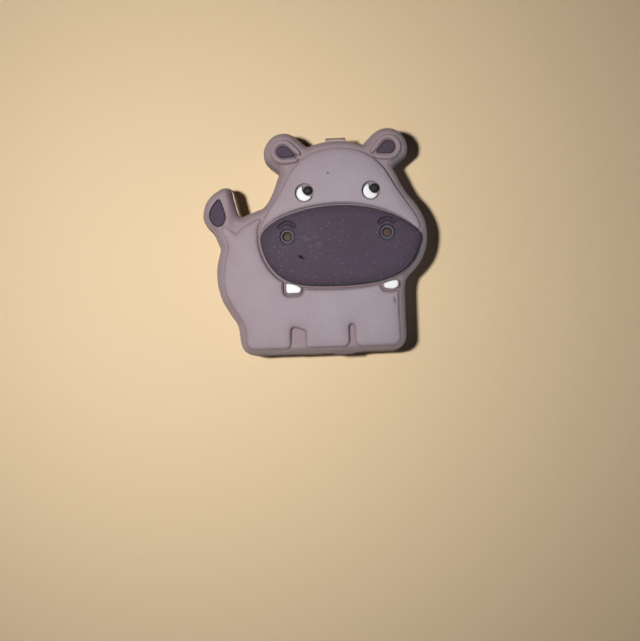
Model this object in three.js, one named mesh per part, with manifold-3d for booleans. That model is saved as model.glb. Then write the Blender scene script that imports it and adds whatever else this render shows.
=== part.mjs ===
// A moulded silicone bead in the shape of a standing hippopotamus that turns its face to the viewer. The
// body is grey, with a darker muzzle, ear and tail inlays, white eyes and teeth, and black pupils. A bore
// for a cord runs through it from the crown to the feet.
// Millimetres. It lies on its flat back: +Z is up out of the face, +Y runs to the top of the head and
// +X to the right as seen. The origin is under the middle of the bead's box.
import * as THREE from 'three';
import { mergeVertices } from 'three/addons/utils/BufferGeometryUtils.js';
import Module from 'manifold-3d';

const wasm = await Module();
wasm.setup();
const { Manifold, Mesh: SolidMesh } = wasm;

// Heights above the flat back.
const PARTING_Z = 3.9; // where the two halves of the mould meet
const RIM_Z = 6.5; // the ledge that runs round every raised panel
const SEAT_Z = 6.1; // floor of the pockets that hold the coloured inlays
const FACE_Z = 7.55; // crown of the face panel
const TRUNK_Z = 7.3; // crown of the trunk panel
const MUZZLE_Z = 8.3; // crown of the muzzle, the highest point
const EYE_FLOOR_Z = 7.0;
const NOSTRIL_FLOOR_Z = 7.65; // the ring round each nostril
const NOSTRIL_PIT_Z = 7.15; // the floor of the hole inside that ring
const EAR_RIDGE_Z = 6.95;
const INLAY_TOP = { ear: 6.8, tail: 6.7, tooth: 7.1, nostril: 7.5, white: 7.4, pupil: 7.45 };

// Each raised panel is crowned: it falls by drop at the distances rx and ry from its middle.
const FACE_CROWN = { x: 2.7, y: 5.6, rx: 9.5, ry: 6.5, top: FACE_Z, drop: 0.55 };
const TRUNK_CROWN = { x: -0.6, y: -5.5, rx: 10.5, ry: 8.5, top: TRUNK_Z, drop: 0.4 };
const MUZZLE_CROWN = { x: 2.6, y: -0.6, rx: 10.4, ry: 5.2, top: MUZZLE_Z, drop: 0.75 };

// The outer edge is a quarter of an oval, from the parting plane up to the rim and down to the back.
const SHOULDER = { inset: 1.05, front: RIM_Z - PARTING_Z, back: 0.8 };

// Ledges and clearances.
const BAND = 0.3; // ledge left between the muzzle and the panels round it
const TOOTH_BAND = 0.28; // the same ledge round a tooth
const PANEL_GAP = 0.2; // from the face panel to the trunk panel
const FIT = 0.05; // clearance between an inlay and its pocket
const CUT = 0.12; // width of the cuts that part the body into its named pieces

// The face, the ears and the bore share one upright line.
const FACE_X = 2.7;
const BORE_RADIUS = 0.9;
const BOSS_HALF_WIDTH = 1.15;
const BOSS_Z = [0.75, 5.6];
const BOSS_TOP_Y = 12.03;
const BOSS_BOTTOM_Y = -13.05;

// The crown of the head and the ears are arcs of circles.
const CROWN = { x: 2.66, y: 2.93, radius: 8.97, from: 67, to: 113 };
const EARS = {
  left: { x: -3.38, y: 10.68, radius: 2.33, from: 42, to: 210 },
  right: { x: 8.68, y: 10.75, radius: 2.39, from: -24, to: 138 },
};
// The inlay of each ear is a round end joined to a small round tip.
const EAR_INLAYS = {
  left: { x: -3.37, y: 10.38, radius: 0.7, tipX: -2.2, tipY: 9.95, tipRadius: 0.16 },
  right: { x: 8.65, y: 10.49, radius: 0.74, tipX: 7.44, tipY: 10.0, tipRadius: 0.16 },
};
const EAR_RIDGE = { inner: 0.13, outer: 0.72, slot: 0.18, slotLength: 2 };

// Measured from the middle of the socket: the disc of the white, the bite out of it, and the pupils.
const EYE = {
  socket: 1.08,
  white: { x: -0.02, y: -0.06, radius: 0.885 },
  bite: { x: 0.6, y: 0.47, radius: 0.8 },
};
const EYES = { left: [-1.14, 5.5], right: [6.41, 5.47] };
const PUPILS = { left: { x: 0.41, y: 0.29, radius: 0.51 }, right: { x: 0.42, y: 0.29, radius: 0.53 } };
const NOSTRIL = { ring: 0.88, pit: 0.49 };
const NOSTRILS = { nostril_left: [-3.25, 0.57], nostril_right: [8.0, 0.6] };
// The groove over each nostril, measured from the nostril's middle.
const CREASE = { x: -0.03, y: 0.57, radius: 0.98, halfWidth: 0.2, from: 38, to: 142, floor: 7.6 };

// The undersides of the legs and the cuts that part them.
const LEG_TOP_Y = -9.75;
const LEG_CUTS_X = [-2.55, 3.78];
const CHEEK_CUT_Y = -4.62; // where the head ends at the bead's right edge
const FAR = 20; // well outside the bead, for the far edges of cutting shapes

// ---------- outlines: lists of [x, y] points, anticlockwise ----------

function arc(cx, cy, radius, from, to, steps) {
  const points = [];
  for (let i = 0; i <= steps; i++) {
    const a = THREE.MathUtils.degToRad(from + ((to - from) * i) / steps);
    points.push([cx + radius * Math.cos(a), cy + radius * Math.sin(a)]);
  }
  return points;
}

function circle(cx, cy, radius, steps = 28) {
  return arc(cx, cy, radius, 0, 360, steps).slice(0, -1);
}

// A smooth curve through the points.
function curve(points, closed = false, perSpan = 2) {
  const through = points.map(([x, y]) => new THREE.Vector3(x, y, 0));
  const spline = new THREE.CatmullRomCurve3(through, closed, 'catmullrom', 0.5);
  const spans = closed ? points.length : points.length - 1;
  const found = spline.getPoints(spans * perSpan).map((p) => [p.x, p.y]);
  return closed ? found.slice(0, -1) : found;
}

// A closed outline whose corners [x, y, radius] are rounded; a corner with no radius stays sharp.
function rounded(corners, steps = 4) {
  return corners.flatMap(([x, y, radius], i) => {
    if (!radius) return [[x, y]];
    const here = new THREE.Vector2(x, y);
    const [before, after] = [corners.at(i - 1), corners[(i + 1) % corners.length]];
    const back = new THREE.Vector2(before[0], before[1]).sub(here).normalize();
    const on = new THREE.Vector2(after[0], after[1]).sub(here).normalize();
    const half = Math.acos(back.dot(on)) / 2;
    const centre = here.clone().add(back.clone().add(on).normalize().multiplyScalar(radius / Math.sin(half)));
    const reach = radius / Math.tan(half);
    const start = here.clone().addScaledVector(back, reach).sub(centre).angle();
    const end = here.clone().addScaledVector(on, reach).sub(centre).angle();
    const turn = THREE.MathUtils.euclideanModulo(end - start + Math.PI, 2 * Math.PI) - Math.PI;
    const degrees = THREE.MathUtils.radToDeg;
    return arc(centre.x, centre.y, radius, degrees(start), degrees(start + turn), steps);
  });
}

function onFace(points) {
  return points.map(([x, y]) => [x + FACE_X, y]);
}

// The outline moved outwards by a distance, or inwards if it is negative.
function grown(points, distance) {
  return points.map(([x, y], i) => {
    const [lastX, lastY] = points.at(i - 1);
    const [nextX, nextY] = points[(i + 1) % points.length];
    const before = new THREE.Vector2(y - lastY, lastX - x).normalize();
    const after = new THREE.Vector2(nextY - y, x - nextX).normalize();
    const out = before.clone().add(after).normalize();
    const reach = distance / Math.max(out.dot(after), 0.5);
    return [x + out.x * reach, y + out.y * reach];
  });
}

// A round end joined to a small round tip by straight sides.
function teardrop({ x, y, radius, tipX, tipY, tipRadius }) {
  const axis = THREE.MathUtils.radToDeg(Math.atan2(tipY - y, tipX - x));
  const length = Math.hypot(tipX - x, tipY - y);
  const swing = THREE.MathUtils.radToDeg(Math.acos((radius - tipRadius) / length));
  const end = arc(x, y, radius, axis + swing, axis + 360 - swing, 14);
  const tip = arc(tipX, tipY, tipRadius, axis - swing, axis + swing, 4);
  return [...end, ...tip];
}

function arcOf({ x, y, radius, from, to }, steps) {
  return arc(x, y, radius, from, to, steps);
}

// The whole silhouette, from the front foot anticlockwise up the head and round by the tail.
function bodyOutline() {
  const cheek = [[10.3, -4.5], [11.42, -3.42], [12.25, -2.3], [12.78, -0.9], [12.96, 0.4], [12.9, 1.62],
    [12.5, 2.9], [11.78, 4.22], [10.87, 5.33], [10.25, 6.35], [9.84, 7.25], [9.5, 8.0]];
  const temple = [[-4.1, 7.95], [-4.45, 7.1], [-4.87, 6.13], [-5.37, 5.2], [-6.1, 4.35]];
  const back = [[-6.9, 4.09], [-7.86, 3.71], [-8.62, 3.36]];
  const tailInside = [[-8.78, 3.73], [-8.96, 4.34], [-9.14, 5.15]];
  const tailOutside = [[-11.77, 6.34], [-12.51, 5.58], [-12.98, 4.62], [-13.12, 3.55], [-12.69, 2.56],
    [-11.89, 1.6], [-11.48, 0.54], [-11.18, -0.15]];
  const rump = [[-11.44, -0.92], [-11.7, -2.2], [-11.78, -3.52], [-11.62, -5.0], [-11.17, -6.43],
    [-10.39, -7.78], [-9.7, -8.88], [-9.44, -9.75], [-9.36, -10.95], [-9.1, -11.93], [-8.42, -12.55],
    [-7.5, -12.78], [-6.6, -12.81]];
  return [
    [1.3, -12.93],
    [4.2, -12.93],
    [4.9, -12.87],
    ...arc(8.33, -11.15, 1.7, -90, -4, 5),
    [10.04, -8.3],
    [10.08, -5.6],
    ...curve(cheek),
    [9.2, 8.5],
    [9.84, 9.0],
    [10.3, 9.36],
    ...arcOf(EARS.right, 13),
    [6.02, 11.44],
    ...arcOf(CROWN, 8).slice(1, -1),
    [-0.62, 11.34],
    ...arcOf(EARS.left, 13),
    [-4.47, 8.8],
    [-3.92, 8.42],
    ...curve(temple),
    ...curve(back),
    ...curve(tailInside),
    ...arc(-10.4, 5.87, 1.1, -8, 120, 8),
    ...curve(tailOutside),
    ...curve(rump),
  ];
}

function muzzleOutline() {
  return curve([[11.8, 0.15], [11.35, 0.9], [9.95, 1.98], [8.05, 2.97], [6.0, 3.6], [3.9, 3.92],
    [1.6, 3.95], [-1.0, 3.65], [-3.45, 2.98], [-5.0, 2.2], [-5.95, 1.4], [-6.3, 0.8], [-6.33, 0.2],
    [-6.1, -0.95], [-5.5, -2.35], [-4.45, -3.65], [-3.1, -4.5], [-1.4, -4.95], [1.2, -5.12], [3.5, -5.13],
    [5.6, -5.0], [7.35, -4.72], [8.85, -4.18], [10.1, -3.35], [11.0, -2.25], [11.55, -1.05]], true);
}

// The face panel down to the muzzle, which covers its lower edge: one half and its mirror image.
function faceOutline() {
  const half = curve([[0, 10.66], [2.15, 10.35], [3.95, 9.5], [5.4, 8.0], [6.6, 5.9], [8.15, 3.6],
    [8.85, 2.45], [9.2, 1.45], [8.9, 0.6]]);
  const mirrored = half.slice(1).map(([x, y]) => [-x, y]);
  return onFace([...half.reverse(), ...mirrored]);
}

// The trunk panel: tail root, back, flank, three legs and rump; its upper part lies under the head.
function trunkOutline() {
  const back = curve([[-8.45, 1.95], [-7.6, 2.4], [-6.75, 2.86]]);
  const rump = curve([[-8.45, -10.5], [-8.6, -9.5], [-9.0, -8.5], [-9.6, -7.5], [-10.2, -6.4], [-10.6, -5.3],
    [-10.78, -3.9], [-10.65, -2.35], [-10.25, -0.8], [-10.1, 0.0]]);
  return rounded([
    [-10.95, 1.95, 0.3], [-10.3, 2.1, 0.4], [-9.08, 1.22, 0.25], ...back, [-6.0, 3.0, 0.36],
    [-6.2, 2.1, 0.6], [-6.7, 1.0], [0, -3], [9.1, -3], [9.08, -8], [9.15, -12.2, 1.0],
    [3.95, -12.2, 0.85], [3.9, -9.58, 0.26], [3.35, -9.58, 0.26], [3.38, -12.15, 0.8],
    [-1.75, -12.12, 0.5], [-1.7, -10.1, 0.35], [-3.25, -9.6, 0.3], [-3.42, -12.13, 0.6],
    [-8.5, -12.12, 1.0], ...rump, [-10.4, 0.9, 0.5],
  ]).reverse();
}

function tailInlayOutline() {
  return curve([[-10.97, 5.27], [-11.5, 4.75], [-11.92, 4.1], [-12.06, 3.5], [-11.93, 2.85], [-11.5, 2.38],
    [-11.05, 2.24], [-10.62, 2.42], [-10.32, 2.9], [-10.27, 3.35], [-10.45, 4.1], [-10.72, 4.95]], true);
}

// Corners of each tooth, with their radii.
const TEETH = {
  tooth_left: [[-3.7, -4.62, 0.15], [-3.7, -5.8, 0.32], [-2.1, -5.8, 0.36], [-1.93, -5.22, 0.18],
    [-2.45, -4.88, 0.4], [-3.1, -4.68, 0.3]],
  tooth_right: [[8.05, -4.84, 0.3], [7.3, -5.1, 0.15], [7.5, -5.64, 0.2], [8.5, -5.8, 0.3],
    [9.13, -5.45, 0.25], [9.1, -4.67, 0.15]],
};

function creaseOutline(x, y) {
  const { radius, halfWidth, from, to } = CREASE;
  const outer = arc(x + CREASE.x, y + CREASE.y, radius + halfWidth, from, to, 10);
  const inner = arc(x + CREASE.x, y + CREASE.y, radius - halfWidth, to, from, 10);
  return [...outer, ...inner];
}

// ---------- solids ----------

function solid(geometry) {
  const bare = geometry.clone();
  bare.deleteAttribute('normal');
  bare.deleteAttribute('uv');
  const merged = mergeVertices(bare, 1e-5);
  return new Manifold(new SolidMesh({
    numProp: 3,
    vertProperties: new Float32Array(merged.attributes.position.array),
    triVerts: new Uint32Array(merged.index.array),
  }));
}

function shapeOf(points) {
  return new THREE.Shape(points.map(([x, y]) => new THREE.Vector2(x, y)));
}

// A straight-sided block on an outline.
function slab(points, bottom, top) {
  const geometry = new THREE.ExtrudeGeometry(shapeOf(points), { depth: top - bottom, bevelEnabled: false });
  return solid(geometry.translate(0, 0, bottom));
}

// The outline's whole column, from a height up to past the top of the bead.
function column(points, bottom = 0) {
  return slab(points, bottom, FAR);
}

// The whole bead up to the rim. The round edges are made a unit high and then drawn out to their heights.
function roundedBlock(points) {
  const { inset, front, back } = SHOULDER;
  const side = PARTING_Z - back;
  const geometry = new THREE.ExtrudeGeometry(shapeOf(points), {
    depth: side,
    bevelThickness: 1,
    bevelSize: inset,
    bevelOffset: -inset,
    bevelSegments: 3,
  });
  const places = geometry.attributes.position;
  for (let i = 0; i < places.count; i++) {
    const z = places.getZ(i);
    places.setZ(i, back + (z > side ? side + (z - side) * front : z < 0 ? z * back : z));
  }
  return solid(geometry);
}

// Everything under a crown, a paraboloid that is carried on to 1.4 times rx and ry.
function dome({ x, y, rx, ry, top, drop }) {
  const rings = 7;
  const reach = 1.4;
  const profile = [new THREE.Vector2(0, 0)];
  for (let i = rings; i > 0; i--) {
    const r = (reach * i) / rings;
    profile.push(new THREE.Vector2(r, top - drop * r * r));
  }
  profile.splice(1, 0, new THREE.Vector2(reach, 0));
  profile.push(new THREE.Vector2(0, top));
  const geometry = new THREE.LatheGeometry(profile, 40).rotateX(Math.PI / 2);
  return solid(geometry.scale(rx, ry, 1).translate(x, y, 0));
}

// A round bar along Y through the bead, in the parting plane.
function boreCore() {
  const bar = new THREE.CylinderGeometry(BORE_RADIUS, BORE_RADIUS, 2 * FAR, 24);
  return solid(bar.translate(FACE_X, 0, PARTING_Z));
}

function boss(fromY, toY) {
  const [bottom, top] = BOSS_Z;
  const box = new THREE.BoxGeometry(2 * BOSS_HALF_WIDTH, toY - fromY, top - bottom);
  return solid(box.translate(FACE_X, (fromY + toY) / 2, (bottom + top) / 2));
}

const muzzlePoints = muzzleOutline();
const facePoints = faceOutline();

// A ridge round the ear's inlay, open towards the head.
function earRidge(ear) {
  const { x, y, tipX, tipY } = ear;
  const inlay = teardrop(ear);
  const outside = slab(grown(inlay, EAR_RIDGE.outer), SEAT_Z, EAR_RIDGE_Z);
  const slot = new THREE.BoxGeometry(EAR_RIDGE.slotLength, EAR_RIDGE.slot, FAR)
    .translate(EAR_RIDGE.slotLength / 2, 0, 0)
    .rotateZ(Math.atan2(tipY - y, tipX - x))
    .translate(tipX, tipY, 0);
  return outside
    .subtract(column(grown(inlay, EAR_RIDGE.inner)))
    .subtract(solid(slot))
    .subtract(column(grown(facePoints, PANEL_GAP / 2)));
}

function wholeBody() {
  const underMuzzle = column(grown(muzzlePoints, BAND), RIM_Z);
  const face = column(facePoints, SEAT_Z).intersect(dome(FACE_CROWN));
  const trunk = column(trunkOutline(), SEAT_Z).intersect(dome(TRUNK_CROWN));
  let body = roundedBlock(bodyOutline())
    .add(boss(BOSS_TOP_Y - 1, BOSS_TOP_Y))
    .add(boss(BOSS_BOTTOM_Y, BOSS_BOTTOM_Y + 1))
    .add(face.subtract(underMuzzle))
    .add(trunk.subtract(underMuzzle).subtract(column(grown(facePoints, PANEL_GAP))))
    .add(earRidge(EAR_INLAYS.left))
    .add(earRidge(EAR_INLAYS.right))
    .subtract(column(grown(muzzlePoints, FIT), SEAT_Z))
    .subtract(column(grown(tailInlayOutline(), FIT), SEAT_Z))
    .subtract(boreCore());
  for (const inlay of Object.values(EAR_INLAYS)) {
    body = body.subtract(column(grown(teardrop(inlay), FIT), SEAT_Z));
  }
  for (const [x, y] of Object.values(EYES)) {
    body = body.subtract(column(circle(x, y, EYE.socket), EYE_FLOOR_Z));
  }
  for (const corners of Object.values(TEETH)) {
    const tooth = rounded(corners);
    body = body
      .subtract(column(grown(tooth, TOOTH_BAND), RIM_Z))
      .subtract(column(grown(tooth, FIT), SEAT_Z));
  }
  return body;
}

// ---------- the cuts that part the body ----------

// The space inside a cut, and the larger one that is cleared from what lies outside it.
function zone(points) {
  return { inside: column(grown(points, -CUT / 2), -1), cleared: column(grown(points, CUT / 2), -1) };
}

// Outside the face panel, between the ear's two joints with the head; the left one is the mirror image.
function earZone(side) {
  const wedge = [[3.32, 11.42], [2.95, 10.2], [3.95, 9.5], [4.8, 8.72], [5.5, 8.0], [6.5, 8.5],
    [FAR, 8.5], [FAR, FAR], [3.32, FAR]];
  return zone(onFace(side > 0 ? wedge : wedge.map(([x, y]) => [-x, y]).reverse()));
}

// The head ends along the lower edge of the muzzle, from its left end to near its right one.
function headZone() {
  const edge = grown(muzzlePoints, BAND / 2);
  const start = edge.findIndex(([x, y]) => x < -5 && y < 1.4);
  const end = edge.findLastIndex(([x]) => x < 8.6);
  const chin = edge.slice(start, end + 1);
  return zone([
    [-7.5, FAR], [-7.5, 5.2], [-6.15, 4.3], [-6.25, 2.9], ...chin, [10.3, CHEEK_CUT_Y], [FAR, CHEEK_CUT_Y],
    [FAR, FAR],
  ]);
}

function tailZone() {
  return zone([[-8.4, 8], [-FAR, 8], [-FAR, 1.5], [-12.3, 1.5], [-11.1, 2.1], [-10.3, 2.16], [-9.07, 1.4],
    [-8.6, 3.3]]);
}

function legZone(from, to) {
  return zone([[from, -FAR], [to, -FAR], [to, LEG_TOP_Y], [from, LEG_TOP_Y]]);
}

// ---------- materials and the finished group ----------

function silicone(color, roughness = 0.62) {
  return new THREE.MeshStandardMaterial({ color, roughness, metalness: 0 });
}

const GREY = silicone(0xa6989f);
const PLUM = silicone(0x564b5c, 0.55);
const WHITE = silicone(0xeef1f4, 0.5);
const BLACK = silicone(0x0d0d10, 0.45);
const BROWN = silicone(0x4a3c34);

const bead = new THREE.Group();

function place(name, manifold, material) {
  const { vertProperties, triVerts } = manifold.getMesh();
  const geometry = new THREE.BufferGeometry();
  geometry.setAttribute('position', new THREE.BufferAttribute(vertProperties, 3));
  geometry.setIndex(new THREE.BufferAttribute(triVerts, 1));
  geometry.computeVertexNormals();
  const mesh = new THREE.Mesh(geometry, material.clone());
  mesh.name = name;
  bead.add(mesh);
}

function placeBody() {
  const whole = wholeBody();
  const ears = { ear_left: earZone(-1), ear_right: earZone(1) };
  const head = headZone();
  const tail = tailZone();
  const [rearCut, frontCut] = LEG_CUTS_X;
  const legs = {
    leg_rear: legZone(-FAR, rearCut),
    leg_middle: legZone(rearCut, frontCut),
    leg_front: legZone(frontCut, FAR),
  };
  for (const [name, part] of Object.entries({ ...ears, ...legs, tail })) {
    place(name, whole.intersect(part.inside), GREY);
  }
  const betweenEars = head.inside.subtract(ears.ear_left.cleared).subtract(ears.ear_right.cleared);
  place('head', whole.intersect(betweenEars), GREY);
  const allLegs = legZone(-FAR, FAR);
  place('trunk', whole.subtract(head.cleared).subtract(tail.cleared).subtract(allLegs.cleared), GREY);
}

function placeMuzzle() {
  let muzzle = column(muzzlePoints, SEAT_Z).intersect(dome(MUZZLE_CROWN));
  for (const [name, [x, y]] of Object.entries(NOSTRILS)) {
    muzzle = muzzle
      .subtract(column(circle(x, y, NOSTRIL.ring), NOSTRIL_FLOOR_Z))
      .subtract(column(circle(x, y, NOSTRIL.pit), NOSTRIL_PIT_Z))
      .subtract(column(creaseOutline(x, y), CREASE.floor));
    place(name, slab(circle(x, y, NOSTRIL.pit - FIT), NOSTRIL_PIT_Z, INLAY_TOP.nostril), BROWN);
  }
  place('muzzle', muzzle, PLUM);
}

function placeInlays() {
  for (const [side, inlay] of Object.entries(EAR_INLAYS)) {
    place(`ear_inlay_${side}`, slab(teardrop(inlay), SEAT_Z, INLAY_TOP.ear), PLUM);
  }
  place('tail_inlay', slab(tailInlayOutline(), SEAT_Z, INLAY_TOP.tail), PLUM);
  const underMuzzle = column(grown(muzzlePoints, 2 * FIT));
  for (const [name, corners] of Object.entries(TEETH)) {
    place(name, slab(rounded(corners), SEAT_Z, INLAY_TOP.tooth).subtract(underMuzzle), WHITE);
  }
}

function placeEyes() {
  const { white, bite } = EYE;
  for (const [side, [x, y]] of Object.entries(EYES)) {
    const pupil = PUPILS[side];
    const bitten = column(circle(x + bite.x, y + bite.y, bite.radius));
    const disc = slab(circle(x + white.x, y + white.y, white.radius), EYE_FLOOR_Z, INLAY_TOP.white);
    place(`eye_${side}`, disc.subtract(bitten), WHITE);
    const dot = circle(x + pupil.x, y + pupil.y, pupil.radius);
    place(`pupil_${side}`, slab(dot, EYE_FLOOR_Z, INLAY_TOP.pupil), BLACK);
  }
}

placeBody();
placeMuzzle();
placeInlays();
placeEyes();

// The drawing moves so that the middle of the bead's box lies over the origin.
const middle = new THREE.Box3().setFromObject(bead).getCenter(new THREE.Vector3());
bead.position.set(-middle.x, -middle.y, 0);

export default bead;
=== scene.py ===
import math

import bmesh
import bpy
import numpy as np
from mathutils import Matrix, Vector
from mathutils.geometry import delaunay_2d_cdt


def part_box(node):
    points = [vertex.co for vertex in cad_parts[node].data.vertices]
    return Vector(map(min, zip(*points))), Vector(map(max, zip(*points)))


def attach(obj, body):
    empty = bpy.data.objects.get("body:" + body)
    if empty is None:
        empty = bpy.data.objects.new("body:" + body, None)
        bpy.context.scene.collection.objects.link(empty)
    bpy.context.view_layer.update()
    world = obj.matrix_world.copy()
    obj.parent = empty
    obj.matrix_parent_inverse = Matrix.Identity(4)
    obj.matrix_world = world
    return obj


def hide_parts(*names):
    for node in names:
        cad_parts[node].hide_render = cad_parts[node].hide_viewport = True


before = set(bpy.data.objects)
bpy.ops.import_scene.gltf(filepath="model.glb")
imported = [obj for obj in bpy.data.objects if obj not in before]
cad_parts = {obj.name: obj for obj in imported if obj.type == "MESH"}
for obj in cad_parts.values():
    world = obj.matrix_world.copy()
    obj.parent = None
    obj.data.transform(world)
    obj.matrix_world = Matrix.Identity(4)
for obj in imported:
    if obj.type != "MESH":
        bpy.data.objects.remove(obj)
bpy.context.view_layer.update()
MM = 0.001


def top_of(node):
    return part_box(node)[1].z / MM


def bottom_of(node):
    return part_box(node)[0].z / MM


# ---------- heights above the flat back ----------

RIM_Z = top_of("tail")  # the ledge round every raised panel
SEAT_Z = bottom_of("muzzle")  # floor of the pockets
FACE_Z = top_of("head")
TRUNK_Z = top_of("trunk")
MUZZLE_Z = top_of("muzzle")
RIDGE_Z = top_of("ear_left")
EYE_FLOOR_Z = bottom_of("eye_left")
NOSTRIL_PIT_Z = bottom_of("nostril_left")
PARTING_Z = 3.9  # the plane where the two halves of the mould meet

# Crowns: middle x and y, the distances rx and ry from it where the height has fallen by drop, and drop.
FACE_CROWN = (2.7, 5.6, 9.5, 6.5, 0.55)
TRUNK_CROWN = (-0.6, -5.5, 10.5, 8.5, 0.4)
MUZZLE_CROWN = (2.6, -0.6, 10.4, 5.2, 0.75)
TAIL_DOME = (0.3, 1.8)  # how far the tail's front rises, and over what width
TAIL_EAST = -9.2  # the dome fades out here, towards the head
TAIL_SOUTH = 1.4  # and here, towards the rump

# ---------- edges and clearances ----------

STEP = 0.1  # spacing of points along an outline
SHOULDER = 1.05  # width of the round shoulder that climbs from the parting line to the rim
SHOULDER_RISE = RIM_Z - PARTING_Z
BACK_ROUND = 1.05  # width and height of the round edge of the back
BACK_RISE = 0.8
TAIL_LIP = (-9.1, 4.95, 2.4)  # the middle of the lip beside the tail, and how far it reaches
LIP_RISE = 1.4  # that lip's height, the width of its round edge, its width, and that of the climb behind it
LIP_ROUND = 0.07
LIP_WIDTH = 0.2
LIP_CLIMB = 0.75
RING_INSET = 0.36  # where the wall hands over to the front
PANEL_ROUND = 0.32
PANEL_FALL = 0.26  # how far a panel's margin sinks below its crown, and over what width
PANEL_MARGIN = 1.15
PANEL_SWELL = 3.2  # how far in from its edge a panel still grows lighter: painted sheen on its middle, painted shade at its margin
RIDGE_ROUND = 0.2
FACE_BAND = 0.17  # ledge between the muzzle and the face panel
TRUNK_BAND = 0.34  # and those round the trunk panel, along the muzzle and the teeth
TOOTH_BAND = 0.3
# The low lips round the coloured pieces: width, height and how dark the painted shade line at their foot is.
MUZZLE_LIP = (0.25, 0.4, 0.35)
TOOTH_LIP = (0.2, 0.25, 0.35)
EAR_LIP = (0.19, 0.26, 0)
LOW_LIP_ROUND = 0.1
PANEL_GAP = 0.2  # between the face and trunk panels
RIDGE_GAP = 0.12  # between an ear's ridge and the face panel
FIT = 0.05  # clearance round a piece in its pocket
DRAFT = 0.05  # how far the wall stands outside the outline at the parting line
TAPER = 0.25  # how much it leans in from there down to the back
FLASH = 0.04  # how far the parting line stands out
# Places where more silicone was squeezed out along the parting line: x, y, reach and extra width.
FLASH_TONGUES = [(-9.2, 5.0, 1.7, 0.05), (4.5, 11.6, 0.6, 0.1)]

# ---------- places in the drawing ----------

FACE_X = 2.7  # the upright line that the face, the ears and the bore share
BORE_RADIUS = 0.9
BORE_LIP = 0.08  # the round edge at each mouth of the bore
BOSS_HALF_WIDTH = 1.15
BOSS_TOP_Y = 12.03
BOSS_BOTTOM_Y = -13.05
BOSS_PALE_Y = 11.25  # the upper boss is paler from here on
BOSS_LOW = 0.75  # where a boss begins and ends, above the back
BOSS_HIGH = {BOSS_TOP_Y: 5.6, BOSS_BOTTOM_Y: 5.05}
BOSS_REACH = 2  # the wall belongs to a boss within this distance of its plane
BORE_WINDOW = (2.7, 5.1)  # the wall is opened for the bore between these heights
TAIL_X = -13.12  # the outline's furthest point to the left
DRAWING_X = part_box("tail")[0].x / MM - TAIL_X
DRAWING_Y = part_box("leg_middle")[0].y / MM - BOSS_BOTTOM_Y
CROWN = (2.66, 2.93, 8.97, 67, 113)  # x, y, radius, and the angles where the arc starts and ends
EARS = {"left": (-3.38, 10.68, 2.33), "right": (8.68, 10.75, 2.39)}
# An ear's inlay: a round end at x, y joined to a small round tip at x, y.
EAR_INLAYS = {"left": (-3.37, 10.38, 0.7, -2.2, 9.95, 0.16), "right": (8.65, 10.49, 0.74, 7.44, 10.0, 0.16)}
EAR_RIDGE = (0.13, 0.72)  # its inner and outer edge, out from the inlay
EAR_SLOTS = {"left": 0.4, "right": 0.18}  # width of the gap in the ridge
EYES = {"left": (-1.14, 5.5), "right": (6.41, 5.47)}
EYE_SOCKET = 1.08
# From the middle of the socket: the disc of the white, the round bite out of it, and the pupils.
EYE_WHITE = (-0.02, -0.06, 0.885)
EYE_BITE = (0.6, 0.47, 0.8)
EYE_TIP = 0.15
PUPILS = {"left": (0.41, 0.29, 0.51), "right": (0.42, 0.29, 0.53)}
NOSTRILS = {"left": (-3.25, 0.57), "right": (8.0, 0.6)}
NOSTRIL_RING = 0.88
NOSTRIL_PIT = 0.49
NOSTRIL_ROUND = (0.665, 0.135, 7.62, 0.26)  # the ring's middle radius, half width, foot and rise
# The arc over a nostril: its middle from the nostril's, radius, half width, and start and end angles.
CREASE = (-0.03, 0.57, 0.98, 0.2, 38, 142)
CREASE_DEPTH = 0.2
CREASE_ROUND = 0.11
MUZZLE_DROP = 0.4  # how far the muzzle's round edge falls, and over what width
MUZZLE_ROUND = 0.45
SCRATCHED = (-1.0, 0.0, 2.4)  # the scratched patch of the muzzle: its middle and its reach
# Small flaws in the moulding: x, y, half length, half width, tilt in degrees and depth.
SKIN_FLAWS = [(1.63, 7.66, 0.09, 0.08, 0, 0.14), (8.62, -7.05, 0.4, 0.05, 98, 0.12),
              (2.55, -12.2, 0.4, 0.03, 92, 0.05)]
MUZZLE_FLAWS = [(-1.7, -1.81, 0.29, 0.14, -30, 0.85)]

# ---------- dark lines of painted shade in creases, recesses, sockets and along edges: how dark, and how wide ---

PANEL_LINE = (0.32, 0.06)
PANEL_LINE_MORE = 0.4  # the painted shade added towards the right, from x 7 to 10, where the edges face away from the light
RIDGE_LINE = (0.38, 0.06)
POCKET_LINE = (0.3, 0.05)
TAIL_LIP_LINE = (0.4, 0.08)
OUTER_LINE = (0.7, 0.1)
PAD_LINE = (0.6, 0.08)
MUZZLE_LINE = (0.8, 0.12)
NOSTRIL_LINE = (1, 0.05)
CREASE_LINE = (1, 0.085)
LIP_LINE_WIDTH = 0.05
SOCKET_SHADE = 0.45
BAND_SHADE = 0.15
INLAY_SHADE = 0.2
FLAW_SHADE = 9  # painted shade in the dents, for each millimetre of depth
FRONT_Z = 5.7  # the lines of the front lie above this


# ---------- outlines: arrays of points, anticlockwise ----------


def arc(x, y, radius, start, end, step=STEP):
    """Points on a circle from one angle to another, in degrees, about a step apart."""
    count = max(3, round(abs(math.radians(end - start)) * radius / step) + 1)
    turn = np.radians(np.linspace(start, end, count))
    return np.c_[x + radius * np.cos(turn), y + radius * np.sin(turn)]


def circle(x, y, radius, step=STEP):
    return arc(x, y, radius, 0, 360, step)[:-1]


def on_circle(x, y, radius, turn):
    return x + radius * math.cos(math.radians(turn)), y + radius * math.sin(math.radians(turn))


def angle_of(step):
    """The direction of a step, in degrees."""
    return math.degrees(math.atan2(step[1], step[0]))


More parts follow.
